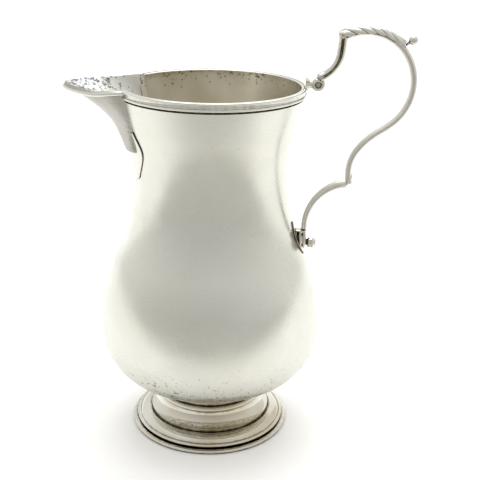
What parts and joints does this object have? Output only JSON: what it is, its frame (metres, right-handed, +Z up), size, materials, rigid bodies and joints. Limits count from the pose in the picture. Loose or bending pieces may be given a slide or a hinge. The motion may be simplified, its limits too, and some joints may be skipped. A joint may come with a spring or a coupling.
{
  "type": "silver pitcher",
  "caption": "Footed pear-shaped silver pitcher with a beak spout, a moulded rim and a leaf-capped double-scroll handle.",
  "frame": {"origin": "centre of the foot's resting plane, on the axis of the body", "axes": "+Z up along the body's axis; +X towards the handle and -X towards the spout; XZ is the plane of symmetry"},
  "size_m": [0.0947, 0.0624, 0.1168],
  "materials": {
    "raised_silver": "hand-raised and planished silver, polished to a soft shine",
    "spout_silver": "hammered and filed silver, greyer than the body",
    "wire_silver": "bright drawn silver wire",
    "foot_silver": "bright polished silver with dark tarnish in the grooves",
    "cast_silver": "cast and chased silver with brown tarnish in the recesses"
  },
  "bodies": {
    "root": {"body": "raised_silver", "spout_drop": "raised_silver", "spout_beak": "spout_silver", "rim_wire": "wire_silver", "spout_lip_wire": "wire_silver", "foot_base_wire": "foot_silver", "foot_dome": "foot_silver", "foot_stem": "foot_silver", "foot_knop_wire": "foot_silver", "foot_collar": "foot_silver", "handle_knuckle": "cast_silver", "handle_root_scroll": "cast_silver", "handle_upper_scroll": "cast_silver", "handle_leaf_cap": "cast_silver", "handle_leaf_bead": "cast_silver", "handle_lower_plate": "cast_silver", "handle_lower_scroll": "cast_silver", "handle_lower_socket": "cast_silver", "handle_berry": "cast_silver"}
  },
  "joints": []
}
